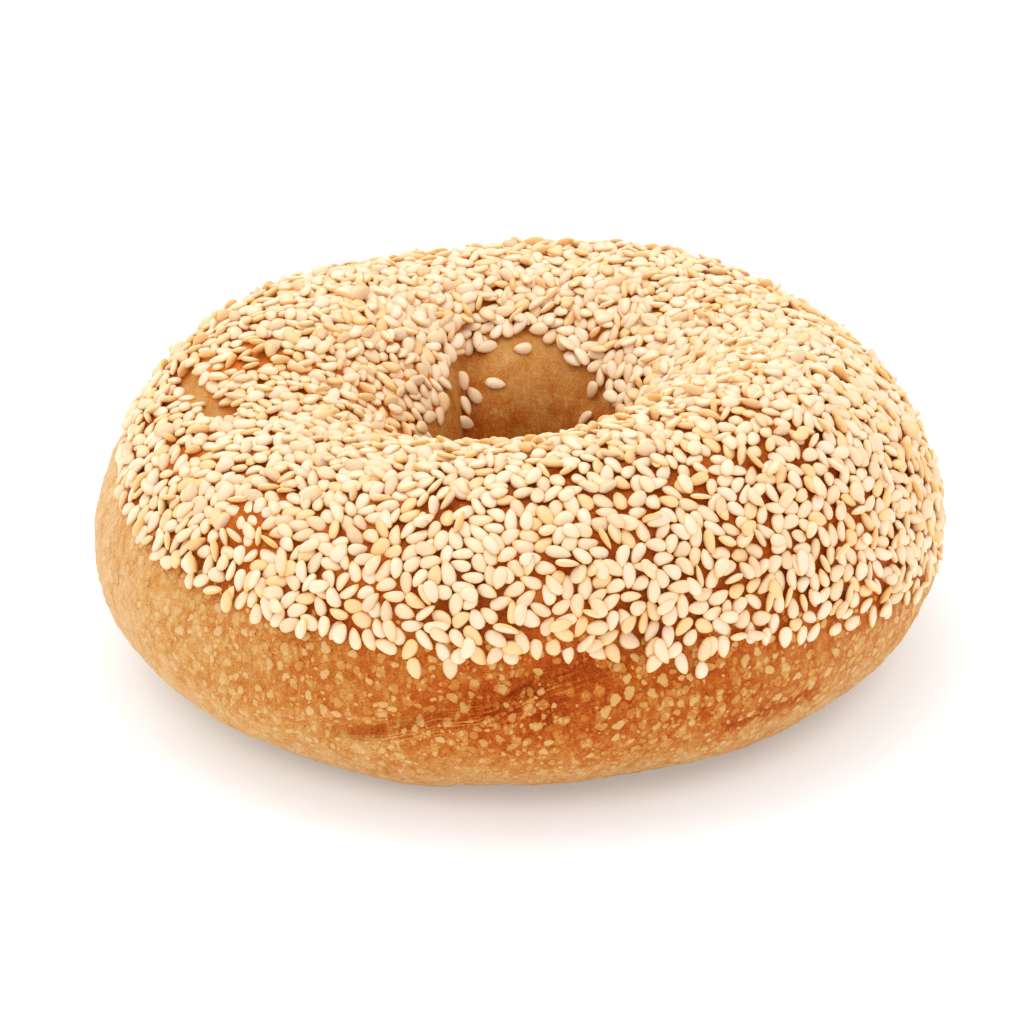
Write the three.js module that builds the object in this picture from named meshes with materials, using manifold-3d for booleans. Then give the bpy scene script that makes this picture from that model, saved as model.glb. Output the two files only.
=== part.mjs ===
// A sesame bagel: one hand-rolled ring of baked dough, with the seeds on its crown fused to the crust.
// Millimetres, +Z up. The origin is on the table under the middle of the ring, and -Y is the front.
// A place on the skin is given by two angles in degrees. One goes round the ring, from +X towards +Y.
// The other goes round the dough's section: 0 outside, 90 at the crest, 180 in the hole, 270 underneath.
import * as THREE from "three";
import { ConvexGeometry } from "three/addons/geometries/ConvexGeometry.js";
import { ParametricGeometry } from "three/addons/geometries/ParametricGeometry.js";
import { mergeVertices } from "three/addons/utils/BufferGeometryUtils.js";
import Module from "manifold-3d";

// Dough ring
const OUTER_DIAMETER = 115.5;
const HOLE_DIAMETER = 23.6;
const CREST_HEIGHT = 40.8;
const WIDEST_LEVEL = 16.4;
const BASE_SETTLING = 1.4;
const RING_CENTRE = { x: -0.6, y: -1.6 };

// Unevenness from rolling by hand: waves with so many lobes round the ring, each highest at an angle
const OUTER_SWELLS = [
  { lobes: 1, rise: 0.9, at: 63 },
  { lobes: 2, rise: 1.4, at: 57 },
  { lobes: 3, rise: 0.7, at: -36 },
  { lobes: 4, rise: 0.4, at: -15 },
];
const CREST_SWELLS = [
  { lobes: 1, rise: 1.9, at: -16 },
  { lobes: 2, rise: 1.9, at: -47 },
  { lobes: 3, rise: 0.5, at: 36 },
  { lobes: 4, rise: 0.9, at: -28 },
];
const HOLE_SWELLS = [
  { lobes: 1, rise: 2.2, at: -15 },
  { lobes: 2, rise: 1.2, at: 75 },
  { lobes: 3, rise: 0.4, at: 60 },
];

// Folds in the crust: each groove follows a short path over the skin
const FOLDS = {
  rolledEnd: { path: [[-118, -17], [-107, -8], [-97, 8], [-72, 22]], depth: 1.3, width: 2.4 },
  joinInHole: { path: [[106, 124], [112, 140], [118, 160], [122, 190]], depth: 2.2, width: 2 },
  bareNotch: { path: [[176, 60], [193, 76]], depth: 1.5, width: 2.6 },
  pressedSide: { path: [[168, 30], [192, 30]], depth: 0.7, width: 4 },
};

// Sesame seed
const SEED_LENGTH = 2.85;
const SEED_WIDTH = 1.84;
const SEED_THICKNESS = 0.86;
const SEED_ROOT = 1.7;
const SEED_SIZE_SPREAD = 0.12;

// A seed's corners along it, as shares of its length from the middle, and its heel's share of the width
const SEED_TIP = 0.5;
const SEED_RIDGE_FRONT = 0.14;
const SEED_SHOULDERS = -0.06;
const SEED_RIDGE_BACK = -0.28;
const SEED_HEEL = -0.47;
const SEED_HEEL_WIDTH = 0.45;

// Where the seeds lie
const SEED_LIFT = 0.4;
const SEED_COUNT = 285;
const SEED_SPACING = 5.3;
const SEED_TRIES = 40000;
const SEED_EDGE_OUTSIDE = 17.5;
const SEED_EDGE_SWELLS = [
  { lobes: 1, rise: 12.2, at: -177 },
  { lobes: 2, rise: 3.7, at: 51 },
  { lobes: 3, rise: 4.2, at: 56 },
];
const SEED_EDGE_IN_HOLE = 150;
const BARE_HOLE_WALL = { at: 97, width: 45, rise: 24 };
const RANDOM_START = 20260;

// Mesh density: the front has closer columns than the back, and the outside closer rows than the hole
const COLUMNS = 62;
const ROWS = 26;
const FRONT_ANGLE = -95;
const COLUMN_CROWDING = 0.5;
const ROW_CROWDING = 0.35;

const CRUST_COLOUR = 0xc98a45;
const CRUST_ROUGHNESS = 0.55;

const radians = THREE.MathUtils.degToRad;
const TURN = 2 * Math.PI;
const UP = new THREE.Vector3(0, 0, 1);

// The signed angle from one direction to another, at most half a turn either way.
function turnBetween(from, to) {
  const turn = (to - from) % TURN;
  if (turn > Math.PI) return turn - TURN;
  return turn < -Math.PI ? turn + TURN : turn;
}

function swelling(swells, ringAngle) {
  const wave = ({ lobes, rise, at }) => rise * Math.cos(lobes * (ringAngle - radians(at)));
  return swells.reduce((sum, swell) => sum + wave(swell), 0);
}

// The dough's section at an angle round the ring: where its middle is, its half width and its crest.
function sectionAt(ringAngle) {
  const outer = OUTER_DIAMETER / 2 + swelling(OUTER_SWELLS, ringAngle);
  const inner = HOLE_DIAMETER / 2 + swelling(HOLE_SWELLS, ringAngle);
  return {
    middle: (outer + inner) / 2,
    halfWidth: (outer - inner) / 2,
    crest: CREST_HEIGHT + swelling(CREST_SWELLS, ringAngle),
  };
}

// A fold's path laid flat round a place on the skin, which becomes the flat sheet's zero point.
function flattenedPath(path, ringAngle, sectionAngle) {
  const { middle, halfWidth } = sectionAt(ringAngle);
  const reach = middle + halfWidth * Math.cos(sectionAngle);
  const [startRing, startSection] = path[0];
  const turnToStart = turnBetween(ringAngle, radians(startRing));
  const rollToStart = turnBetween(sectionAngle, radians(startSection));
  return path.map(([ring, section]) => {
    const along = reach * (turnToStart + radians(ring - startRing));
    const round = halfWidth * (rollToStart + radians(section - startSection));
    return new THREE.Vector3(along, round, 0);
  });
}

// How deep the folds press in at a place on the skin.
function foldDepth(ringAngle, sectionAngle) {
  const here = new THREE.Vector3();
  const nearest = new THREE.Vector3();
  let depth = 0;
  for (const fold of Object.values(FOLDS)) {
    const points = flattenedPath(fold.path, ringAngle, sectionAngle);
    let distance = Infinity;
    for (let i = 1; i < points.length; i++) {
      new THREE.Line3(points[i - 1], points[i]).closestPointToPoint(here, true, nearest);
      distance = Math.min(distance, nearest.length());
    }
    depth += fold.depth * Math.exp(-((distance / fold.width) ** 2));
  }
  return depth;
}

// A point of the skin. The section is two half ellipses that meet at the widest level, with a flat base.
function skinPoint(ringAngle, sectionAngle, target = new THREE.Vector3()) {
  const { middle, halfWidth, crest } = sectionAt(ringAngle);
  const across = Math.cos(sectionAngle);
  const upward = Math.sin(sectionAngle);
  const halfHeight = upward > 0 ? crest - WIDEST_LEVEL : WIDEST_LEVEL + BASE_SETTLING;
  const normal = new THREE.Vector2(across / halfWidth, upward / halfHeight).normalize();
  const depth = foldDepth(ringAngle, sectionAngle);
  const reach = middle + halfWidth * across - depth * normal.x;
  const height = WIDEST_LEVEL + halfHeight * upward - depth * normal.y;
  return target.set(
    RING_CENTRE.x + reach * Math.cos(ringAngle),
    RING_CENTRE.y + reach * Math.sin(ringAngle),
    Math.max(0, height),
  );
}

function skinNormal(ringAngle, sectionAngle) {
  const step = 0.01;
  const here = skinPoint(ringAngle, sectionAngle);
  const along = skinPoint(ringAngle + step, sectionAngle).sub(here);
  const round = skinPoint(ringAngle, sectionAngle + step).sub(here);
  return along.cross(round).normalize();
}

function doughGeometry() {
  const place = (u, v, target) => {
    const ringAngle = radians(FRONT_ANGLE) + TURN * u - COLUMN_CROWDING * Math.sin(TURN * u);
    const sectionAngle = TURN * v - ROW_CROWDING * Math.sin(TURN * v);
    skinPoint(ringAngle, sectionAngle, target);
  };
  return new ParametricGeometry(place, COLUMNS, ROWS);
}

// A seed lying flat, with a pointed tip, a blunt heel, a low ridge and a root that goes into the crust.
function seedGeometry(size) {
  const length = size * SEED_LENGTH;
  const halfWidth = (size * SEED_WIDTH) / 2;
  const top = SEED_THICKNESS / 2;
  const points = [
    [SEED_TIP * length, 0, 0],
    [SEED_SHOULDERS * length, halfWidth, 0],
    [SEED_SHOULDERS * length, -halfWidth, 0],
    [SEED_HEEL * length, SEED_HEEL_WIDTH * halfWidth, 0],
    [SEED_HEEL * length, -SEED_HEEL_WIDTH * halfWidth, 0],
    [SEED_RIDGE_FRONT * length, 0, top],
    [SEED_RIDGE_BACK * length, 0, top],
    [SEED_SHOULDERS * length, 0, -SEED_ROOT],
  ];
  return new ConvexGeometry(points.map((point) => new THREE.Vector3(...point)));
}

// Repeatable random numbers from 0 to 1.
function randomNumbers(start) {
  let state = start;
  return () => {
    state = (state * 48271) % 2147483647;
    return state / 2147483647;
  };
}

// The seeded band's edges at an angle round the ring, as section angles: outside, and in the hole.
function seededBand(ringAngle) {
  const { at, width, rise } = BARE_HOLE_WALL;
  const fromBareWall = turnBetween(radians(at), ringAngle) / radians(width);
  return [
    radians(SEED_EDGE_OUTSIDE + swelling(SEED_EDGE_SWELLS, ringAngle)),
    radians(SEED_EDGE_IN_HOLE - rise * Math.exp(-(fromBareWall ** 2))),
  ];
}

// Places for the seeds, spread evenly over the seeded band and clear of the folds and of each other.
function seedPlaces(random) {
  const places = [];
  for (let tries = 0; tries < SEED_TRIES && places.length < SEED_COUNT; tries++) {
    const ringAngle = TURN * random();
    const sectionAngle = Math.PI * random();
    const [outside, inHole] = seededBand(ringAngle);
    const point = skinPoint(ringAngle, sectionAngle);
    const reach = Math.hypot(point.x - RING_CENTRE.x, point.y - RING_CENTRE.y);
    const evenByArea = random() < reach / (OUTER_DIAMETER / 2);
    const onBand = sectionAngle > outside && sectionAngle < inHole;
    if (!evenByArea || !onBand || foldDepth(ringAngle, sectionAngle) > SEED_LIFT) continue;
    if (places.some((other) => other.point.distanceTo(point) < SEED_SPACING)) continue;
    places.push({ point, normal: skinNormal(ringAngle, sectionAngle) });
  }
  return places;
}

function placedSeed({ point, normal }, random) {
  const seed = seedGeometry(1 + SEED_SIZE_SPREAD * (2 * random() - 1));
  seed.rotateZ(TURN * random());
  seed.applyQuaternion(new THREE.Quaternion().setFromUnitVectors(UP, normal));
  const middle = point.clone().addScaledVector(normal, SEED_LIFT);
  return seed.translate(middle.x, middle.y, middle.z);
}

// Solids for joining, from closed meshes, and the way back
const wasm = await Module();
wasm.setup();

function solidOf(geometry) {
  geometry.deleteAttribute("normal");
  geometry.deleteAttribute("uv");
  const merged = mergeVertices(geometry);
  const vertProperties = new Float32Array(merged.getAttribute("position").array);
  const triVerts = new Uint32Array(merged.index.array);
  return new wasm.Manifold(new wasm.Mesh({ numProp: 3, vertProperties, triVerts }));
}

function geometryOf(solid) {
  const { vertProperties, triVerts } = solid.getMesh();
  const geometry = new THREE.BufferGeometry();
  geometry.setAttribute("position", new THREE.BufferAttribute(vertProperties, 3));
  geometry.setIndex(new THREE.BufferAttribute(triVerts, 1));
  geometry.computeVertexNormals();
  return geometry;
}

function bagelGeometry() {
  const random = randomNumbers(RANDOM_START);
  const seeds = seedPlaces(random).map((place) => solidOf(placedSeed(place, random)));
  const fused = seeds.reduce((whole, seed) => whole.add(seed), solidOf(doughGeometry()));
  return geometryOf(fused);
}

const crust = new THREE.MeshStandardMaterial({
  color: CRUST_COLOUR,
  roughness: CRUST_ROUGHNESS,
  metalness: 0,
});
const bagel = new THREE.Mesh(bagelGeometry(), crust);
bagel.name = "bagel";

const part = new THREE.Group();
part.add(bagel);

export default part;
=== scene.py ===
"""The looks of a sesame bagel: its baked crust, and the seeds that cover its crown.

Lengths in this script are millimetres until they go into a mesh. A place on the skin is given by two
angles: one round the ring, from +X towards +Y with the front at -90 degrees, and one round the dough's
section, which is 0 at the outside, 90 at the crest, 180 in the hole and -90 underneath.
"""

import math

import bpy
import numpy as np
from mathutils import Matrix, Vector
from mathutils.kdtree import KDTree


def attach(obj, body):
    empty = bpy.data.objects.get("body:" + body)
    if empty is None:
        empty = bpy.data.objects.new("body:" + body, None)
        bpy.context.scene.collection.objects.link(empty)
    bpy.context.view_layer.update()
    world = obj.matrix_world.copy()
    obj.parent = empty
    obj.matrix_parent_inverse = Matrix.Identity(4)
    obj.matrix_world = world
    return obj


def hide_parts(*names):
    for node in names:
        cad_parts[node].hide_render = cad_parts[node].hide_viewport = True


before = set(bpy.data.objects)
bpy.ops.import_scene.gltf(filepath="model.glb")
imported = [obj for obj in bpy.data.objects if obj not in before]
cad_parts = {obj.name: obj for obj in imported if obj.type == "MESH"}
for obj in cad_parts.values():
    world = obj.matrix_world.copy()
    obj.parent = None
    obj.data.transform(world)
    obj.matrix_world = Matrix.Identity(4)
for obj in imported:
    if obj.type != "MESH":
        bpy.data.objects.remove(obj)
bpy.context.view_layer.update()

MM = 0.001
TURN = 2 * math.pi
RANDOM_START = 20260

# Dough ring, as in the solid
OUTER_DIAMETER = 115.5
HOLE_DIAMETER = 23.6
CREST_HEIGHT = 40.8
WIDEST_LEVEL = 16.4
BASE_SETTLING = 1.4
RING_CENTRE = (-0.6, -1.6)

# Swells round the ring: lobes, rise and the angle where each is highest
OUTER_SWELLS = ((1, 0.9, 63), (2, 1.4, 57), (3, 0.7, -36), (4, 0.4, -15))
CREST_SWELLS = ((1, 1.9, -16), (2, 1.9, -47), (3, 0.5, 36), (4, 0.9, -28))
HOLE_SWELLS = ((1, 2.2, -15), (2, 1.2, 75), (3, 0.4, 60))

# Folds in the crust: path over the skin, depth and width
ROLLED_END = ((-118, -17), (-107, -8), (-97, 8), (-72, 22))
HOLE_JOIN = ((106, 124), (112, 140), (118, 160), (122, 190))
BARE_NOTCH = ((176, 60), (193, 76))
PRESSED_SIDE = ((168, 30), (192, 30))
FOLDS = (
    (ROLLED_END, 1.3, 2.4),
    (HOLE_JOIN, 2.2, 2.0),
    (BARE_NOTCH, 1.5, 2.6),
    (PRESSED_SIDE, 0.7, 4.0),
)

# Lip of the rolled end, the pinch at its left end, and a stain low on the right
LIP = (
    (-118, -18),
    (-107.3, -11),
    (-100.2, -0.5),
    (-92.8, 3.5),
    (-87.8, 9.5),
    (-77.2, 16.5),
    (-68.2, 21.5),
)
PINCH = ((-111.4, -15.4), (-109, -13.6), (-107.2, -11.6))
STAIN = ((-60, -18.5), (-54, -17.5), (-46, -17))
LIP_BANK = 0.45
LIP_VALLEY = 0.25
LIP_EDGE = 0.7
STRETCH_MARK_HEIGHT = 0.05
STRETCH_MARK_SPACING = 1.3
PINCH_DEPTH = 0.8

# Where the seeds lie
SEED_EDGE_OUTSIDE = 17.5
SEED_EDGE_SWELLS = ((1, 12.2, -177), (2, 3.7, 51), (3, 4.2, 56))
SEED_EDGE_IN_HOLE = 150
BARE_HOLE_WALL = {"at": 97, "width": 45, "rise": 24}
BARE_PATCH_WIDTH = 1.1
RIM_OF_HOLE = math.radians(108)

# Dough mesh: each face of a coarse torus is cut in nine, rows crowd on the bare side of the crust, and
# columns a little towards the front
COARSE_COLUMNS = 240
COARSE_ROWS = 45
FRONT_ANGLE = math.radians(-90)
COLUMN_CROWDING = 0.2
BARE_SIDE_ANGLE = math.radians(-12)
ROW_CROWDING = 0.55

# Lumps in the crust, by the size of a whole wave of them, and how high they stand
LUMP_SIZES = {"broad": 17, "low": 4.5, "fine": 1.7, "wander": 9}
LUMP_HEIGHTS = {"broad": 0.3, "low": 0.05, "fine": 0.06}

# Blisters: how many are tried and between which section angles, their radii and the power that makes most
# of them small, the rise and depth for each millimetre of radius, how far their rims sink in, how near they
# come for each millimetre of their radii, the lobes of their outlines, and how pale they are
BLISTER_TRIES = 24000
BLISTER_SECTIONS = (-75, 50)
BLISTER_RADII = (0.3, 1.05)
BLISTER_SMALLNESS = 2.3
BLISTER_RISE = 0.12
BLISTER_DEPTH = 0.2
BLISTER_SINKING = 0.02
BLISTER_NEARNESS = 0.8
BLISTER_LOBES = ((2, 0.2), (3, 0.12))
LEAST_PALENESS = 0.25
PALENESS_SPREAD = 0.7

# Seeds, and for each layer of them the spacing, how much closer they crowd at the back and on the rim of
# the hole, and the rest height. Then the three beads of each seed while it settles, the share that is tipped
# on edge, how much the seeds vary, and how high a tilted seed lies
SEED_LENGTH = 2.85
SEED_WIDTH = 1.84
SEED_THICKNESS = 0.86
SEED_TRIES = 70000
SEED_LAYERS = ((1.54, 0.1, 0.22, 0.24), (4.0, 0.0, 0.45, 0.9))
SEED_FLATNESS = 1.9
BEAD_PLACES = np.array([-0.58, 0.15, 0.85])
BEAD_RADII = np.array([0.8, 0.78, 0.5])
BEAD_OVERLAP = 0.08
ON_EDGE_SHARE = 0.17
MORE_ON_EDGE_AT_BACK = 0.05
MORE_ON_EDGE_ON_RIM = 0.25
ON_EDGE_TIPPING = (0.4, 1.3)
SIZE_SPREAD = 0.08
BEND_SPREAD = 0.05
PITCH_SPREAD = 0.16
RIM_PITCH_SPREAD = 0.2
ROLL_SPREAD = 0.24
LEAST_TILTED_LIFT = 0.15
TILTED_LIFT_SHARE = 0.66

# How sprinkled seeds settle: the steps, the reach of a look for neighbours and the steps between looks, the
# steps and amount of spreading at first, the most that a seed starts above its rest, the shares of a push
# that it moves and of its lift that it sinks, the share of its pitch that it keeps, and the steepest pitch
SETTLE_STEPS = 140
NEIGHBOUR_REACH = SEED_LENGTH + 0.8
NEIGHBOUR_STEPS = 10
SPREADING_STEPS = 70
SPREADING = 0.2
FIRST_LIFT = 0.4
PUSH_SHARE = 0.3
SINKING_SHARE = 0.03
PITCH_KEPT = 0.93
PITCH_LIMIT = 0.6

# Seeds that lie apart: the two skin angles and the heading
STRAY_SEEDS = (
    (-102.5, 16, -70),
    (-98, 16.5, -85),
    (-72, 13.5, -145),
    (-68.2, 12, -75),
    (-65.5, 9, 95),
    (101.2, 130.5, 11),
    (86.5, 134, 10),
    (99.8, 144.5, 166),
    (65.2, 138.5, 153),
    (51.2, 147, 70),
    (50.5, 156.5, 60),
    (115.8, 140.5, 90),
    (110.8, 146.5, -59),
    (118, 149.5, 95),
    (123, 155.5, 153),
    (128.8, 134, 80),
    (134.2, 141, 110),
    (151.2, 143, 20),
    (142.5, 146.5, 75),
    (151.2, 149.5, 60),
    (174, 150, 90),
)


def turn_between(start, end):
    """The signed angle from one direction to another."""
    return (end - start + math.pi) % TURN - math.pi


def unit(vectors):
    return vectors / np.linalg.norm(vectors, axis=-1, keepdims=True)


def dot(first, second):
    return (first * second).sum(-1)


def smooth_step(low, high, value):
    share = np.clip((value - low) / (high - low), 0, 1)
    return share * share * (3 - 2 * share)


def hump(distance, width):
    return np.exp(-((distance / width) ** 2))


def facing(ring, degrees, width):
    """1 where the ring faces an angle given in degrees, less to both sides over a width in radians."""
    return hump(turn_between(math.radians(degrees), ring), width)


# Skin of the dough
def swelling(swells, ring):
    return sum(rise * np.cos(lobes * (ring - math.radians(at))) for lobes, rise, at in swells)


def section_at(ring):
    """The dough's section at angles round the ring: its middle, half width and crest."""
    outer = OUTER_DIAMETER / 2 + swelling(OUTER_SWELLS, ring)
    inner = HOLE_DIAMETER / 2 + swelling(HOLE_SWELLS, ring)
    return (outer + inner) / 2, (outer - inner) / 2, CREST_HEIGHT + swelling(CREST_SWELLS, ring)


def along_path(path, ring, section):
    """How far places on the skin are from a path, how far to its left, and how far along it they lie."""
    middle, half_width, _ = section_at(ring)
    reach = middle + half_width * np.cos(section)
    corners = np.radians(path)
    turn = turn_between(ring, corners[0, 0])
    roll = turn_between(section, corners[0, 1])
    flat = [
        np.stack([reach * (turn + r - corners[0, 0]), half_width * (roll + s - corners[0, 1])], -1)
        for r, s in corners
    ]
    nearest = np.full(np.shape(ring), np.inf)
    left = np.zeros(np.shape(ring))
    along = np.zeros(np.shape(ring))
    passed = np.zeros(np.shape(ring))
    for start, end in zip(flat, flat[1:]):
        step = end - start
        length = np.linalg.norm(step, axis=-1)
        share = np.clip(-dot(start, step) / length**2, 0, 1)
        to_path = start + share[..., None] * step
        distance = np.linalg.norm(to_path, axis=-1)
        closer = distance < nearest
        nearest = np.where(closer, distance, nearest)
        side = (to_path[..., 0] * step[..., 1] - to_path[..., 1] * step[..., 0]) / length
        left = np.where(closer, side, left)
        along = np.where(closer, passed + share * length, along)
        passed = passed + length
    return nearest, left, along


def from_path(path, ring, section):
    return along_path(path, ring, section)[0]


def smooth_skin(ring, section):
    """The skin before folding: its places and outward normals, and the directions along the ring and round
    the section."""
    middle, half_width, crest = section_at(ring)
    across, upward = np.cos(section), np.sin(section)
    half_height = np.where(upward > 0, crest - WIDEST_LEVEL, WIDEST_LEVEL + BASE_SETTLING)
    reach = middle + half_width * across
    height = WIDEST_LEVEL + half_height * upward
    out = np.stack([np.cos(ring), np.sin(ring), 0 * ring], -1)
    along = np.stack([-np.sin(ring), np.cos(ring), 0 * ring], -1)
    up = np.array([0.0, 0.0, 1.0])
    centre = np.array([*RING_CENTRE, 0.0])
    place = centre + reach[..., None] * out + height[..., None] * up
    normal = unit((across / half_width)[..., None] * out + (upward / half_height)[..., None] * up)
    return place, normal, along, np.cross(normal, along)


def angles_at(place):
    """The two skin angles of places on or near the skin."""
    x, y, z = np.moveaxis(place - np.array([*RING_CENTRE, 0.0]), -1, 0)
    ring = np.arctan2(y, x)
    middle, half_width, crest = section_at(ring)
    rise = z - WIDEST_LEVEL
    half_height = np.where(rise > 0, crest - WIDEST_LEVEL, WIDEST_LEVEL + BASE_SETTLING)
    return ring, np.arctan2(rise / half_height, (np.hypot(x, y) - middle) / half_width)


def fold_depth(ring, section):
    return sum(depth * hump(from_path(path, ring, section), width) for path, depth, width in FOLDS)


def skin(ring, section, relief=0.0):
    """Places on the folded skin, raised by the relief, and their outward normals before folding."""
    place, normal, _, _ = smooth_skin(ring, section)
    place = place + normal * np.asarray(relief - fold_depth(ring, section))[..., None]
    place[..., 2] = np.maximum(place[..., 2], 0)
    return place, normal


def seed_edges(ring):
    """The seeded band's edges as section angles: outside, and in the hole."""
    outside = SEED_EDGE_OUTSIDE + swelling(SEED_EDGE_SWELLS, ring)
    from_wall = np.degrees(turn_between(math.radians(BARE_HOLE_WALL["at"]), ring))
    inside = SEED_EDGE_IN_HOLE - BARE_HOLE_WALL["rise"] * hump(from_wall, BARE_HOLE_WALL["width"])
    return np.radians(outside), np.radians(inside)


def ripples(random, wavelength, waves=24):
    """A field of smooth random bumps of about one wavelength, mostly between -1 and 1."""
    directions = unit(random.normal(size=(waves, 3)))
    turns = directions * (TURN / wavelength * random.uniform(0.7, 1.4, waves))[:, None]
    phases = random.uniform(0, TURN, waves)
    return lambda place: np.cos(place @ turns.T + phases).sum(-1) / math.sqrt(waves)


# Mesh helpers
def select_only(piece=None):
    bpy.ops.object.select_all(action="DESELECT")
    if piece is not None:
        piece.select_set(True)
        bpy.context.view_layer.objects.active = piece


def set_attribute(mesh, name, values):
    """Stores one number or one vector for each vertex."""
    values = np.asarray(values, np.float32)
    kind, field = ("FLOAT", "value") if values.ndim == 1 else ("FLOAT_VECTOR", "vector")
    mesh.attributes.new(name, kind, "POINT").data.foreach_set(field, values.ravel())


def model_ball(segments, rings, taper=0.0):
    """A ball of radius 1 with its poles on the Z axis, tapered towards +Z: its points and faces."""
    select_only()
    bpy.ops.mesh.primitive_uv_sphere_add(segments=segments, ring_count=rings, radius=1)
    ball = bpy.context.object
    if taper:
        modifier = ball.modifiers.new("taper", "SIMPLE_DEFORM")
        modifier.deform_method = "TAPER"
        modifier.deform_axis = "Z"
        modifier.factor = -taper
        bpy.ops.object.modifier_apply(modifier=modifier.name)
    mesh = ball.data
    points = np.array([vertex.co for vertex in mesh.vertices])
    faces = [tuple(face.vertices) for face in mesh.polygons]
    bpy.data.objects.remove(ball)
    bpy.data.meshes.remove(mesh)
    return points, faces


def joined_mesh(name, copies, faces, smooth=True):
    """One piece from many copies of a shape, given the points of each copy in millimetres, and whether each
    face is shaded smooth."""
    count, size, _ = copies.shape
    starts = range(0, count * size, size)
    joined = [[start + corner for corner in face] for start in starts for face in faces]
    mesh = bpy.data.meshes.new(name)
    mesh.from_pydata((copies * MM).reshape(-1, 3).tolist(), [], joined)
    mesh.polygons.foreach_set("use_smooth", np.tile(np.broadcast_to(smooth, len(faces)), count))
    piece = bpy.data.objects.new(name, mesh)
    bpy.context.scene.collection.objects.link(piece)
    return piece


# Dough
def lip_strength(along):
    """How strongly the rolled end's lip stands out, by the way along it."""
    return smooth_step(0, 9, along) * (1 - smooth_step(28, 50, along))


def lip_profile(left):
    """Height across the lip: a bank that rises to an edge, then a step down into the valley above it."""
    bank = LIP_BANK * np.exp(np.minimum(left, 0) / 2.2)
    valley = -LIP_VALLEY * np.exp(-np.maximum(left, 0) / 1.6)
    return bank + (valley - bank) * smooth_step(-LIP_EDGE, LIP_EDGE, left)


def underneath(section):
    """1 where the dough faces the table, 0 elsewhere."""
    return smooth_step(0.87, 0.98, -np.sin(section))


# Browning: 0 is pale tan and 1 is dark red-brown. Some places have a shade of their own, and others add to
# the shade round them. A few added tones are painted light and shade, not browning: painted shade in the
# pinch, the valley above the lip, the hole join and deep in the hole, and painted light on the ridge below
# the lip's start and on the far right. Seeds pass warm light on to the dough under them, and that light
# is painted into the dough's colour
BROWNING = {
    "all round": 0.35,
    "seeded": 0.8,
    "upper hole": 0.36,
    "notch": 0.3,
    "underside": 0.45,
}
ADDED_BROWNING_PAINTED_LIGHT_AND_SHADE = {
    "front": 0.05,
    "left": -0.19,
    "right": -0.05,
    "upward": 0.08,
    "upward in front": 0.35,
    "painted shade above lip": 0.03,
    "below lip": 0.08,
    "painted light below lip start": -0.1,
    "pinch": 0.22,
    "stain": 0.27,
    "painted shade deep in hole": 0.26,
    "painted shade at hole join": 0.18,
}
SEED_LIGHT = {"at back": 0.85, "on rim": 0.6}


def browning_painted_light_and_shade_of(ring, section, place):
    """How dark the crust is at places on it: how it is baked, with painted shade and painted light
    in a few places.
    """
    own, added = BROWNING, ADDED_BROWNING_PAINTED_LIGHT_AND_SHADE
    outside, inside = seed_edges(ring)
    front = facing(ring, -83, math.radians(48))
    left = facing(ring, 172, math.radians(72))
    # Painted light: the crust is made paler on the far right
    right = facing(ring, -12, math.radians(25))
    upward = smooth_step(3, 17, place[..., 2])
    shade = own["all round"] + added["front"] * front + added["left"] * left + added["right"] * right
    shade = shade + (added["upward"] + added["upward in front"] * front) * upward
    _, above_lip, along_lip = along_path(LIP, ring, section)
    # Painted shade in the valley above the lip
    shade = shade + added["painted shade above lip"] * lip_strength(along_lip) * hump(above_lip - 1.0, 1.6)
    shade = shade + added["below lip"] * hump(along_lip - 32, 11) * hump(above_lip + 2, 3.5)
    # Painted light: paler on the lit ridge below the lip's start
    shade = shade + added["painted light below lip start"] * hump(along_lip - 8, 6) * hump(above_lip + 1.4, 1.2)
    # Painted shade in the pinch's dent
    shade = shade + added["pinch"] * hump(from_path(PINCH, ring, section), 0.8)
    shade = shade + added["stain"] * hump(from_path(STAIN, ring, section), 1.5)
    shade = shade + (own["seeded"] - shade) * smooth_step(-0.1, 0.1, section - outside)
    # Painted shade: darker deeper down in the hole
    hole_shade = own["upper hole"] + added["painted shade deep in hole"] * smooth_step(2.3, 3.1, section)
    shade = shade + (hole_shade - shade) * smooth_step(-0.25, 0.1, section - inside)
    # Painted shade along the crease where the ends join in the hole
    shade = shade + added["painted shade at hole join"] * hump(from_path(HOLE_JOIN, ring, section), 1.8)
    shade = shade + (own["notch"] - shade) * hump(from_path(BARE_NOTCH, ring, section), 2.2)
    return shade + (own["underside"] - shade) * underneath(section)


def seed_light_of(ring, section):
    """How much warm light the seeds pass on to the dough, painted into its colour: most on top at the
    back and on the hole's rim.
    """
    _, inside = seed_edges(ring)
    at_back = facing(ring, 120, math.radians(85))
    on_rim = hump(section - RIM_OF_HOLE, 0.35)
    on_top = smooth_step(0.6, 1.3, section) * (1 - smooth_step(-0.25, 0.1, section - inside))
    off_patch = 1 - hump(from_path(BARE_NOTCH, ring, section), 2.2)
    light = np.maximum(SEED_LIGHT["at back"] * at_back, SEED_LIGHT["on rim"] * on_rim)
    return light * on_top * off_patch


def blistering_of(ring, section):
    """How large the blisters are: most at the front below the seeds, less on the left and low down."""
    outside, _ = seed_edges(ring)
    below_seeds = np.degrees(outside - section)
    to_left = facing(ring, 180, math.radians(50))
    size = 0.8 - 0.2 * to_left + 0.25 * hump(below_seeds - 10, 18)
    size = size * (1 - 0.3 * smooth_step(30, 60, below_seeds))
    size = size * (1 - 0.8 * hump(from_path(PINCH, ring, section), 1.5))
    _, above_lip, along_lip = along_path(LIP, ring, section)
    size = size * (1 - 0.35 * lip_strength(along_lip) * hump(above_lip + 0.4, 1.4))
    return size * smooth_step(-14, 0, below_seeds) * (1 - underneath(section))


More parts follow.
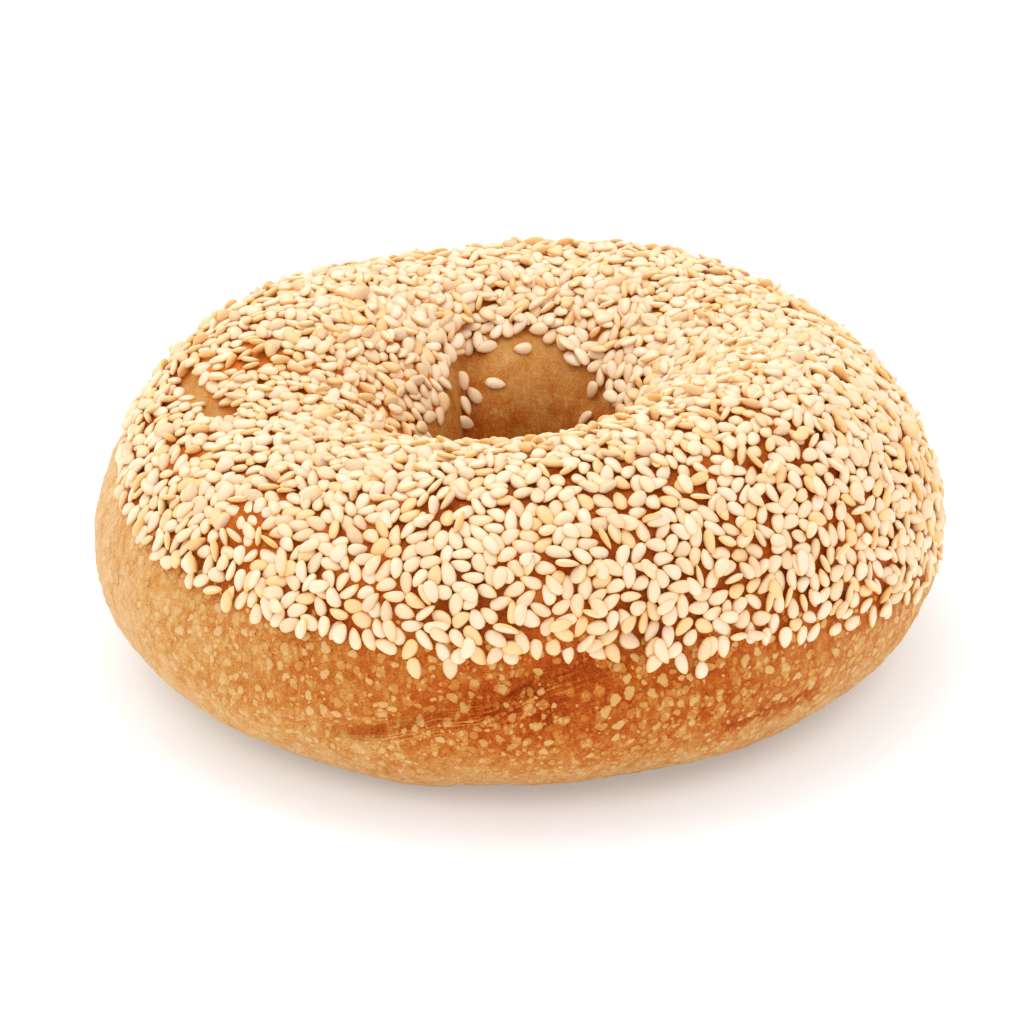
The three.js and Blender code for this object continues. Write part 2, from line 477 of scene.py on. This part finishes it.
def scatter_blisters(random, lumps):
    """Blisters on the bare crust in loose clusters, the largest placed first: their middles, the directions
    along the ring and round the section there, their radii and paleness."""
    ring = random.uniform(-math.pi, math.pi, BLISTER_TRIES)
    section = np.radians(random.uniform(*BLISTER_SECTIONS, BLISTER_TRIES))
    smallest, largest = BLISTER_RADII
    radius = smallest + (largest - smallest) * random.uniform(0, 1, BLISTER_TRIES) ** BLISTER_SMALLNESS
    radius = radius * blistering_of(ring, section)
    paleness = LEAST_PALENESS + PALENESS_SPREAD * random.uniform(0, 1, BLISTER_TRIES) ** 1.3
    place, _, along, roundward = smooth_skin(ring, section)
    clustered = lumps["wander"](place) + random.normal(0, 0.7, BLISTER_TRIES) > -0.5
    order = np.argsort(-radius)
    kept = []
    for i in order[(radius[order] > 0.85 * smallest) & clustered[order]]:
        apart = np.linalg.norm(place[kept] - place[i], axis=-1)
        if np.all(apart > BLISTER_NEARNESS * (radius[kept] + radius[i])):
            kept.append(i)
    return place[kept], along[kept], roundward[kept], radius[kept], paleness[kept]


def crust(ring, section, lumps):
    """Places on the crust: the folded skin with its lumps, the lip and the pinch, and the normals there."""
    place, _ = skin(ring, section)
    outside, _ = seed_edges(ring)
    bare_side = 1 - smooth_step(-0.05, 0.12, section - outside)
    _, above_lip, along_lip = along_path(LIP, ring, section)
    lip = lip_strength(along_lip)
    stretch_marks = np.sin(above_lip * TURN / STRETCH_MARK_SPACING + 1.2 * lumps["wander"](place))
    relief = (
        LUMP_HEIGHTS["broad"] * lumps["broad"](place)
        + LUMP_HEIGHTS["low"] * lumps["low"](place)
        + LUMP_HEIGHTS["fine"] * lumps["fine"](place) * bare_side
        + lip * lip_profile(above_lip)
        + STRETCH_MARK_HEIGHT * lip * hump(above_lip + 1.2, 2.8) * stretch_marks
        - PINCH_DEPTH * hump(from_path(PINCH, ring, section), 0.9)
    )
    return skin(ring, section, relief * (1 - underneath(section)))


def make_dough(lumps):
    """The dough ring: a torus drawn to the uneven crust."""
    select_only()
    bpy.ops.mesh.primitive_torus_add(
        major_segments=COARSE_COLUMNS,
        minor_segments=COARSE_ROWS,
        major_radius=OUTER_DIAMETER / 3 * MM,
        minor_radius=OUTER_DIAMETER / 6 * MM,
    )
    dough = bpy.context.object
    dough.name = dough.data.name = "dough"
    bpy.ops.object.mode_set(mode="EDIT")
    bpy.ops.mesh.select_all(action="SELECT")
    bpy.ops.mesh.subdivide(number_cuts=2)
    bpy.ops.object.mode_set(mode="OBJECT")
    mesh = dough.data
    co = np.zeros(3 * len(mesh.vertices))
    mesh.vertices.foreach_get("co", co)
    x, y, z = co.reshape(-1, 3).T
    ring = np.arctan2(y, x)
    section = np.arctan2(z, np.hypot(x, y) - OUTER_DIAMETER / 3 * MM)
    ring = ring - COLUMN_CROWDING * np.sin(ring - FRONT_ANGLE)
    section = section - ROW_CROWDING * np.sin(section - BARE_SIDE_ANGLE)
    section = (section + math.pi / 2) % TURN - math.pi / 2

    place, _ = crust(ring, section, lumps)
    outside, inside = seed_edges(ring)
    raised = 1 - underneath(section)
    _, above_lip, along_lip = along_path(LIP, ring, section)
    near_lip = lip_strength(along_lip) * smooth_step(3, 14, along_lip) * hump(above_lip + 1.0, 1.9)
    mesh.vertices.foreach_set("co", (place * MM).ravel())
    set_attribute(mesh, "browning_painted_light_and_shade", browning_painted_light_and_shade_of(ring, section, place))
    set_attribute(mesh, "seed_light", seed_light_of(ring, section))
    set_attribute(mesh, "bare_side", raised * (1 - smooth_step(-0.05, 0.12, section - outside)))
    in_notch = hump(from_path(BARE_NOTCH, ring, section), 1.8)
    set_attribute(mesh, "in_hole", raised * np.maximum(in_notch, smooth_step(-0.25, 0.1, section - inside)))
    set_attribute(mesh, "stretching", np.stack([along_lip, above_lip, near_lip], -1))
    select_only(dough)
    bpy.ops.object.mode_set(mode="EDIT")
    bpy.ops.mesh.select_all(action="SELECT")
    bpy.ops.mesh.normals_make_consistent(inside=False)
    bpy.ops.object.mode_set(mode="OBJECT")
    bpy.ops.object.shade_smooth()
    return dough


# Blisters
def model_blister():
    """A blister modelled once, of radius 1: a ball pressed to a low dome with its underside sunk in. Gives
    its points, its faces and the share of the dome's height at each point."""
    points, faces = model_ball(segments=10, rings=3)
    levels = [points[:, 2] > 0.9, points[:, 2] > 0, points[:, 2] > -0.9]
    reach = np.select(levels, [0, 0.6, 1], 0)
    dome = np.select(levels, [1, 0.7, 0], 0)
    height = np.select(levels, [BLISTER_RISE, 0.7 * BLISTER_RISE, -0.1 * BLISTER_RISE], -BLISTER_DEPTH)
    around = np.arctan2(points[:, 1], points[:, 0])
    return np.stack([reach * np.cos(around), reach * np.sin(around), height], -1), faces, dome


def make_blisters(random, lumps):
    """All the blisters, as one joined mesh of low domes that follow the crust."""
    points, faces, dome = model_blister()
    middle, along, roundward, radius, paleness = scatter_blisters(random, lumps)
    count = len(radius)
    around = np.arctan2(points[:, 1], points[:, 0])
    outline = 1 + sum(
        rise * np.cos(lobes * (around - random.uniform(0, TURN, (count, 1))))
        for lobes, rise in BLISTER_LOBES
    )
    spread = points[None, :, :2] * (outline * radius[:, None])[..., None]
    place = middle[:, None] + spread[..., :1] * along[:, None] + spread[..., 1:] * roundward[:, None]
    ring, section = angles_at(place)
    place, normal = crust(ring, section, lumps)
    place = place + normal * (points[:, 2] * radius[:, None] - BLISTER_SINKING)[..., None]
    place[..., 2] = np.maximum(place[..., 2], 0)
    on_top = [dome[list(face)].any() for face in faces]
    blisters = joined_mesh("blisters", place, faces, on_top)
    set_attribute(blisters.data, "browning_painted_light_and_shade", browning_painted_light_and_shade_of(ring, section, place).ravel())
    set_attribute(blisters.data, "bare_side", np.ones(ring.size))
    set_attribute(blisters.data, "paleness", np.repeat(paleness, len(points)))
    set_attribute(blisters.data, "dome", np.tile(dome, count))
    return blisters


# Seeds
def model_seed():
    """A seed modelled once, two units long: a ball tapered to a tip at +X. Gives its points and faces."""
    points, faces = model_ball(segments=8, rings=7, taper=0.38)
    points = points[:, [2, 0, 1]]
    points[:, 1:] /= np.abs(points[:, 1:]).max()
    steepness = np.abs(points[:, 2]) / np.maximum(np.hypot(points[:, 1], points[:, 2]), 1e-6)
    points[:, 2] /= np.maximum(steepness, 0.1) ** 0.3
    points[points[:, 0] > 0.99, 0] += 0.06
    return points, faces


def scatter_seeds(random, spacing, back_crowding, rim_crowding):
    """First places for a layer of seeds as skin angles: closer at the back and on the rim of the hole, and
    wider apart at the edges and in the hole."""
    ring = random.uniform(-math.pi, math.pi, SEED_TRIES)
    section = random.uniform(0, math.pi, SEED_TRIES)
    middle, half_width, _ = section_at(ring)
    outside, inside = seed_edges(ring)
    by_area = random.uniform(0, OUTER_DIAMETER / 2, SEED_TRIES) < middle + half_width * np.cos(section)
    seeded = (section > outside) & (section < inside)
    chosen = np.flatnonzero(by_area & seeded)
    ring, section = ring[chosen], section[chosen]
    to_edge = np.minimum(section - outside[chosen], inside[chosen] - section)
    front_right = facing(ring, -50, 0.8) * hump(section - math.radians(25), 0.5)
    at_back = facing(ring, 120, 1.2)
    on_rim = hump(section - RIM_OF_HOLE, 0.4)
    apart = spacing * (1 - np.maximum(back_crowding * at_back, rim_crowding * on_rim))
    apart = apart * (1 + 0.03 * front_right + 0.1 * hump(to_edge, 0.1))
    place, _ = skin(ring, section)
    kept = []
    for i in range(len(ring)):
        if kept and np.linalg.norm(place[kept] - place[i], axis=-1).min() < apart[i]:
            continue
        kept.append(i)
    return ring[kept], section[kept]


def neighbours(place, reach):
    """Pairs of seeds whose middles are within a reach of each other."""
    tree = KDTree(len(place))
    for i, point in enumerate(place):
        tree.insert(point, i)
    tree.balance()
    pairs = [(i, j) for i, point in enumerate(place) for _, j, _ in tree.find_range(point, reach) if j > i]
    return np.array(pairs).T


def settle_seeds(ring, section, rest, random):
    """Lets sprinkled seeds push each other aside, or up where there is no room, until they lie close
    together. Each seed is three beads in a row, wide on the skin and thin above it. Gives the skin angles,
    the heading, the lift off the skin and the pitch of each seed."""
    count = len(ring)
    heading = random.uniform(-math.pi, math.pi, count)
    lift = rest + random.uniform(0, FIRST_LIFT, count)
    pitch = np.zeros(count)
    low, high = seed_edges(ring)
    touch = BEAD_RADII[:, None] + BEAD_RADII[None, :] - BEAD_OVERLAP
    leverage = (BEAD_PLACES**2).sum()
    for step in range(SETTLE_STEPS):
        place, normal, along, roundward = smooth_skin(ring, section)
        if step % NEIGHBOUR_STEPS == 0:
            first, second = neighbours(place, NEIGHBOUR_REACH)
            up = unit(normal[first] + normal[second])[:, None, None, :]
        cosine, sine = np.cos(heading)[:, None], np.sin(heading)[:, None]
        forward = cosine * along + sine * roundward
        sideways = cosine * roundward - sine * along
        axis = np.cos(pitch)[:, None] * forward + np.sin(pitch)[:, None] * normal
        beads = (place + lift[:, None] * normal)[:, None, :] + BEAD_PLACES[None, :, None] * axis[:, None, :]
        gap = beads[second][:, None, :, :] - beads[first][:, :, None, :]
        rise = dot(gap, up)
        distance = np.sqrt(np.maximum(dot(gap, gap) + (SEED_FLATNESS**2 - 1) * rise**2, 1e-6))
        spread = 1 + SPREADING * max(0, 1 - step / SPREADING_STEPS)
        push = (0.5 * np.maximum(spread * touch - distance, 0) / distance)[..., None] * gap
        moves = np.zeros((count, 3, 3))
        np.add.at(moves, first, -push.sum(2))
        np.add.at(moves, second, push.sum(1))
        moves *= PUSH_SHARE
        shift = moves.mean(1)
        heading = heading + (dot(moves, sideways[:, None, :]) * BEAD_PLACES).sum(1) / leverage
        tipping = (dot(moves, normal[:, None, :]) * BEAD_PLACES).sum(1) / leverage
        pitch = PITCH_KEPT * (pitch + tipping)
        upward = dot(shift, normal)
        lift = np.maximum(rest, lift + upward - SINKING_SHARE * (lift - rest))
        ring, section = angles_at(place + shift - upward[:, None] * normal)
        section = np.clip(section, low, high)
        low, high = seed_edges(ring)
    return ring, section, heading, lift, np.clip(pitch, -PITCH_LIMIT, PITCH_LIMIT)


def lay_seeds(random):
    """The middle, the three axes and the half sizes of every seed."""
    layers = [scatter_seeds(random, *crowding) for *crowding, _ in SEED_LAYERS]
    rest = np.repeat([height for *_, height in SEED_LAYERS], [len(ring) for ring, _ in layers])
    ring, section = np.concatenate(layers, 1)
    laid = settle_seeds(ring, section, rest, random)
    off_patch = from_path(BARE_NOTCH, *laid[:2]) > BARE_PATCH_WIDTH
    ring, section, heading, lift, pitch = (values[off_patch] for values in laid)
    settled = len(ring)
    strays = np.radians(STRAY_SEEDS)
    ring = np.append(ring, strays[:, 0])
    section = np.append(section, strays[:, 1])
    heading = np.append(heading, strays[:, 2])
    lift = np.append(lift, np.full(len(strays), SEED_LAYERS[0][-1]))
    count = len(ring)
    half_sizes = 0.5 * np.array([SEED_LENGTH, SEED_WIDTH, SEED_THICKNESS])
    sizes = half_sizes * random.normal(1, SIZE_SPREAD, (count, 3))
    pitch = np.append(pitch, np.zeros(len(strays))) + random.normal(0, PITCH_SPREAD, count)
    at_back = facing(ring, 110, 1.2)
    on_rim = hump(section - RIM_OF_HOLE, 0.35)
    pitch = pitch + RIM_PITCH_SPREAD * on_rim * random.normal(0, 1, count)
    more_on_edge = np.maximum(MORE_ON_EDGE_AT_BACK * at_back, MORE_ON_EDGE_ON_RIM * on_rim)
    share = ON_EDGE_SHARE * (1 + more_on_edge)
    on_edge = (random.uniform(size=count) < share) & (np.arange(count) < settled)
    tipped = random.choice([-1, 1], count) * random.uniform(*ON_EDGE_TIPPING, count)
    roll = random.normal(0, ROLL_SPREAD, count) + on_edge * tipped
    support = sizes[:, 0] * np.abs(np.sin(pitch)) + sizes[:, 1] * np.abs(np.sin(roll))
    lift = np.maximum(lift, LEAST_TILTED_LIFT + TILTED_LIFT_SHARE * support)
    place, normal = skin(ring, section)
    _, _, along, roundward = smooth_skin(ring, section)
    flat = np.cos(heading)[:, None] * along + np.sin(heading)[:, None] * roundward
    forward = unit(np.cos(pitch)[:, None] * flat + np.sin(pitch)[:, None] * normal)
    level = unit(np.cross(normal, forward))
    sideways = np.cos(roll)[:, None] * level + np.sin(roll)[:, None] * np.cross(forward, level)
    axes = np.stack([forward, sideways, np.cross(forward, sideways)], 1)
    return place + normal * lift[:, None], axes, sizes


# Kinds of seed: share, body colour and tip colour; the tip colour also paints shade on the rim and underside
SEED_KINDS = {
    "sesame_ivory": (0.41, (0.925, 0.725, 0.525), (0.94, 0.56, 0.18)),
    "sesame_pale": (0.38, (0.92, 0.69, 0.465), (0.92, 0.52, 0.15)),
    "sesame_golden": (0.13, (0.92, 0.63, 0.325), (0.89, 0.48, 0.12)),
    "sesame_beige": (0.08, (0.855, 0.625, 0.40), (0.83, 0.49, 0.19)),
}


def make_seeds(random):
    """All the seeds, as one joined mesh for each kind."""
    points, faces = model_seed()
    middle, axes, sizes = lay_seeds(random)
    count = len(middle)
    bend = random.normal(0, BEND_SPREAD, count)
    tone = random.uniform(0, 1, count)
    kind = random.choice(len(SEED_KINDS), count, p=[values[0] for values in SEED_KINDS.values()])
    seeds = []
    for index, name in enumerate(SEED_KINDS):
        chosen = np.flatnonzero(kind == index)
        shape = points[None] * sizes[chosen][:, None, :]
        shape[..., 1] += bend[chosen][:, None] * (points[None, :, 0] ** 2 - 0.4) * SEED_LENGTH
        piece = joined_mesh(name, middle[chosen][:, None, :] + shape @ axes[chosen], faces)
        set_attribute(piece.data, "tone", np.repeat(tone[chosen], len(points)))
        set_attribute(piece.data, "seed_place", np.tile(points, (len(chosen), 1)))
        seeds.append(piece)
    return seeds


# Finishes
class Value:
    """A node's output. Sums, differences and products of values add Math nodes."""

    def __init__(self, finish, socket):
        self.finish = finish
        self.socket = socket

    def math(self, operation, first, second):
        return self.finish.node("ShaderNodeMath", {0: first, 1: second}, operation=operation)

    def __add__(self, other):
        return self.math("ADD", self, other)

    def __sub__(self, other):
        return self.math("SUBTRACT", self, other)

    def __rsub__(self, other):
        return self.math("SUBTRACT", other, self)

    def __mul__(self, other):
        return self.math("MULTIPLY", self, other)

    __radd__ = __add__
    __rmul__ = __mul__

    def other(self, output):
        """Another output of the same node."""
        return Value(self.finish, self.socket.node.outputs[output])


class Finish:
    """A material on the Principled shader."""

    def __init__(self, name, **constants):
        self.material = bpy.data.materials.new(name)
        self.material.use_nodes = True
        self.tree = self.material.node_tree
        self.shader = self.tree.nodes["Principled BSDF"]
        for socket, value in constants.items():
            self.shader.inputs[socket.replace("_", " ")].default_value = value

    def node(self, kind, sockets=None, output=0, stops=None, **settings):
        """Adds a node: its settings, then the values or links of its sockets. Gives one of its outputs."""
        node = self.tree.nodes.new(kind)
        for name, value in settings.items():
            setattr(node, name, value)
        if stops:
            ramp = node.color_ramp
            while len(ramp.elements) < len(stops):
                ramp.elements.new(1)
            for element, (position, colour) in zip(ramp.elements, stops):
                element.position = position
                element.color = (*colour, 1)
        for key, value in (sockets or {}).items():
            self.set(node.inputs[key], value)
        return Value(self, node.outputs[output])

    def set(self, socket, value):
        if isinstance(value, Value):
            self.tree.links.new(value.socket, socket)
        elif hasattr(value, "__len__") and len(value) == 3 and len(socket.default_value) == 4:
            socket.default_value = (*value, 1)
        else:
            socket.default_value = value

    def feed(self, **sockets):
        for name, value in sockets.items():
            self.set(self.shader.inputs[name.replace("_", " ")], value)

    def attribute(self, name, output="Fac"):
        return self.node("ShaderNodeAttribute", output=output, attribute_name=name)

    def noise(self, vector, size, detail=2.0, roughness=0.5):
        """Noise round zero, with features of about the size given, in the vector's own units."""
        sockets = {"Vector": vector, "Scale": 1 / size, "Detail": detail, "Roughness": roughness}
        return self.node("ShaderNodeTexNoise", sockets) - 0.5

    def cells(self, vector, size):
        """Distance from the nearest of scattered points, in cells of the size given."""
        return self.node("ShaderNodeTexVoronoi", {"Vector": vector, "Scale": 1 / size})

    def scaled(self, vector, factors):
        return self.node("ShaderNodeVectorMath", {0: vector, 1: factors}, operation="MULTIPLY")

    def part(self, vector, axis):
        return self.node("ShaderNodeSeparateXYZ", {0: vector}, output=axis)

    def between(self, value, low, high):
        """0 where the value is below low, 1 above high, and smooth between."""
        sockets = {"Value": value, "From Min": low, "From Max": high}
        return self.node("ShaderNodeMapRange", sockets, interpolation_type="SMOOTHSTEP")

    def mix(self, factor, first, second, blend="MIX"):
        sockets = {0: factor, 6: first, 7: second}
        return self.node("ShaderNodeMix", sockets, output=2, data_type="RGBA", blend_type=blend)


# Crust colours from palest to darkest
CRUST_SHADES = (
    (0.0, (0.775, 0.58, 0.35)),
    (0.15, (0.70, 0.45, 0.21)),
    (0.27, (0.65, 0.37, 0.133)),
    (0.38, (0.61, 0.30, 0.083)),
    (0.5, (0.55, 0.215, 0.042)),
    (0.65, (0.48, 0.137, 0.017)),
    (0.8, (0.42, 0.075, 0.003)),
    (0.92, (0.35, 0.048, 0.002)),
    (1.0, (0.24, 0.024, 0.001)),
)
SPECK_COLOUR = (0.06, 0.025, 0.01)
# Painted light: the warm light that seeds pass on to the dough under them
PAINTED_SEED_LIGHT = (0.92, 0.31, 0.045)
# Painted shade in the hole, which also browns the bare notch
HOLE_PAINTED_SHADE = (0.88, 0.79, 0.65)

# Patterns in the crust by size, the tone that pale spots go to and how far, and the softness of their edges
PATTERN_SIZES = {
    "grain": 0.24,
    "mottling": 3,
    "ragged": 0.5,
    "wrinkles": 0.8,
    "hollows": 1.7,
    "flecks": 0.75,
    "specks": 3,
}
STRETCH_LINE_SIZE = 0.28
PALE_TONE = 0.1
MOST_PALE = 0.76
SPOT_SOFTNESS = 0.2

# Seeds: how much light passes through and how far, and the size of their grain
SEED_LIGHT_SHARE = 0.35
SEED_LIGHT_REACH = 0.5
SEED_GRAIN_SIZE = 0.4


def crust_finish():
    """Baked crust: tan to red-brown by how hot it got and by painted light and shade in a few places,
    with painted warm light from the seeds, painted shade in the hole, and tan blisters, wrinkles, streaks
    and specks.
    """
    finish = Finish("baked_crust", Specular_IOR_Level=0.08)
    place = finish.node("ShaderNodeTexCoord", output="Object")
    in_hole = finish.attribute("in_hole")
    bare_side = finish.attribute("bare_side")
    sizes = {name: size * MM for name, size in PATTERN_SIZES.items()}
    grain = finish.noise(place, sizes["grain"], detail=3, roughness=0.7)
    mottling = finish.noise(place, sizes["mottling"], detail=6, roughness=0.7)
    ragged = finish.noise(place, sizes["ragged"], detail=3, roughness=0.6)
    wrinkles = finish.noise(finish.scaled(place, (1, 1, 0.3)), sizes["wrinkles"]) * bare_side
    stretching = finish.attribute("stretching", "Vector")
    near_lip = finish.part(stretching, "Z")
    lines = finish.noise(finish.scaled(stretching, (0.05, 1, 0)), STRETCH_LINE_SIZE, detail=3)
    streaks = lines * near_lip
    pale_lines = finish.between(lines, 0.06, 0.2) * near_lip

    def spots(vector, size, radius):
        """Spots in cells of a size, each with its own radius and strength."""
        cells = finish.cells(vector, size)
        chances = cells.other("Color")
        reach = radius * finish.part(chances, "X")
        return finish.between(reach - cells, 0, SPOT_SOFTNESS) * (0.4 + 0.8 * finish.part(chances, "Y"))

    on_dome = finish.between(finish.attribute("dome") + 1.5 * ragged, 0.15, 0.75)
    blister = finish.attribute("paleness") * on_dome
    hollows = spots(place, sizes["hollows"], radius=0.65)
    hollows = finish.between(hollows + 1.2 * ragged, 0.1, 0.9) * bare_side
    flecks = spots(finish.scaled(place, (1, 1, 0.6)), sizes["flecks"], radius=0.6)
    flecks = flecks * (bare_side + in_hole)
    pale = (0.9 + grain) * blister + 0.4 * hollows + 0.35 * flecks + 0.6 * pale_lines
    pale = pale.math("MINIMUM", pale, MOST_PALE)

    # The browning also carries painted light and shade from a few places
    base = finish.attribute("browning_painted_light_and_shade") + 0.9 * mottling + 0.9 * grain + 0.25 * wrinkles + 2 * streaks
    tone = base + pale * (PALE_TONE - base)
    colour = finish.node("ShaderNodeValToRGB", {0: tone}, stops=CRUST_SHADES)
    # Painted light: warm light that the seeds pass on to the dough
    colour = finish.mix(finish.attribute("seed_light"), colour, PAINTED_SEED_LIGHT)
    # Painted shade in the hole and on the bare notch
    colour = finish.mix(in_hole, colour, HOLE_PAINTED_SHADE, "MULTIPLY")
    specks = finish.between(finish.cells(place, sizes["specks"]), 0.03, 0.05)
    colour = finish.mix(0.85 * (1 - specks), colour, SPECK_COLOUR)
    height = 0.4 * hollows + 0.4 * flecks + 0.8 * grain + ragged + 0.5 * wrinkles - streaks
    bump = finish.node("ShaderNodeBump", {"Height": height, "Strength": 0.6, "Distance": 0.1 * MM})
    finish.feed(Base_Color=colour, Roughness=0.45 + 0.2 * pale + 0.2 * grain, Normal=bump)
    return finish.material


def sesame_finish(name, body, tip):
    """Hulled sesame: a body colour that changes from seed to seed, a darker tip, painted shade towards the
    rim and underside, and light passing through."""
    finish = Finish(
        name,
        Subsurface_Weight=SEED_LIGHT_SHARE,
        Subsurface_Radius=(1.0, 1.0, 1.0),
        Subsurface_Scale=SEED_LIGHT_REACH * MM,
        Specular_IOR_Level=0.5,
    )
    place = finish.node("ShaderNodeTexCoord", output="Object")
    seed_place = finish.attribute("seed_place", "Vector")
    grain = finish.noise(place, SEED_GRAIN_SIZE * MM, detail=3)
    towards_tip = finish.between(finish.part(seed_place, "X") + 0.4 * grain, 0.5, 1.2)
    # Painted shade: the rim and underside of each seed go towards the darker tip colour
    painted_rim_shade = 1 - finish.between(finish.part(seed_place, "Z"), 0, 0.8)
    darker = 0.4 * towards_tip + 0.63 * painted_rim_shade + 0.3 * finish.attribute("tone") + 0.5 * grain - 0.1
    colour = finish.mix(darker, body, tip)
    bump = finish.node("ShaderNodeBump", {"Height": grain, "Strength": 0.4, "Distance": 0.06 * MM})
    finish.feed(Base_Color=colour, Roughness=0.45 + 0.15 * grain, Normal=bump)
    return finish.material


# Stage: camera, table, lamp and the light of the room. The table glows in rings: strength, start and end
CAMERA_PLACE = (-0.6, -474.4, 247.8)
CAMERA_AIM = (-0.94, -2.95, 18.2)
CAMERA_LENS = 134.9
FLOOR_SIZE = 4000
FLOOR_COLOUR = (0.58, 0.58, 0.58, 1)
FLOOR_GLOW = ((0.26, 20, 42), (0.2, 46.5, 55), (0.4, 60, 80))
LAMP_PLACE = (-140, 150, 900)
LAMP_SIZE = 900
LAMP_ENERGY = 4.4
ROOM_LIGHT = 0.95


def make_camera():
    bpy.ops.object.camera_add(location=Vector(CAMERA_PLACE) * MM)
    camera = bpy.context.object
    aim = Vector(CAMERA_AIM) * MM
    camera.rotation_euler = (aim - camera.location).to_track_quat("-Z", "Y").to_euler()
    camera.data.lens = CAMERA_LENS
    camera.data.clip_start = 10 * MM
    bpy.context.scene.camera = camera


def make_floor():
    """A white table that glows a little, but not under the hole."""
    select_only()
    bpy.ops.mesh.primitive_plane_add(size=FLOOR_SIZE * MM)
    floor = bpy.context.object
    floor.name = "floor"
    finish = Finish("white_table", Base_Color=FLOOR_COLOUR, Roughness=0.8, Specular_IOR_Level=0.1)
    place = finish.node("ShaderNodeTexCoord", output="Object")
    from_middle = finish.node("ShaderNodeVectorMath", {0: place}, "Value", operation="LENGTH")
    inner, middle, outer = (
        strength * finish.between(from_middle, start * MM, end * MM) for strength, start, end in FLOOR_GLOW
    )
    glow = inner + middle + outer
    finish.feed(Emission_Color=finish.mix(glow, (0, 0, 0), (1, 1, 1)), Emission_Strength=1.0)
    floor.data.materials.append(finish.material)


def make_light():
    """A white room, and a wide soft lamp above and a little behind."""
    world = bpy.data.worlds.new("white_room")
    world.use_nodes = True
    world.node_tree.nodes["Background"].inputs["Color"].default_value = (1, 1, 1, 1)
    world.node_tree.nodes["Background"].inputs["Strength"].default_value = ROOM_LIGHT
    bpy.context.scene.world = world
    bpy.ops.object.light_add(type="AREA", location=Vector(LAMP_PLACE) * MM)
    lamp = bpy.context.object
    lamp.data.shape = "DISK"
    lamp.data.size = LAMP_SIZE * MM
    lamp.data.energy = LAMP_ENERGY
    lamp.rotation_euler = (-lamp.location).to_track_quat("-Z", "Y").to_euler()
    bpy.context.scene.view_settings.view_transform = "Standard"


random = np.random.default_rng(RANDOM_START)
lumps = {name: ripples(random, size) for name, size in LUMP_SIZES.items()}
make_camera()
make_floor()
make_light()
dough = make_dough(lumps)
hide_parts("bagel")
baked_crust = crust_finish()
for piece in (dough, make_blisters(random, lumps)):
    piece.data.materials.append(baked_crust)
    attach(piece, "root")
for piece in make_seeds(random):
    piece.data.materials.append(sesame_finish(piece.name, *SEED_KINDS[piece.name][1:]))
    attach(piece, "root")
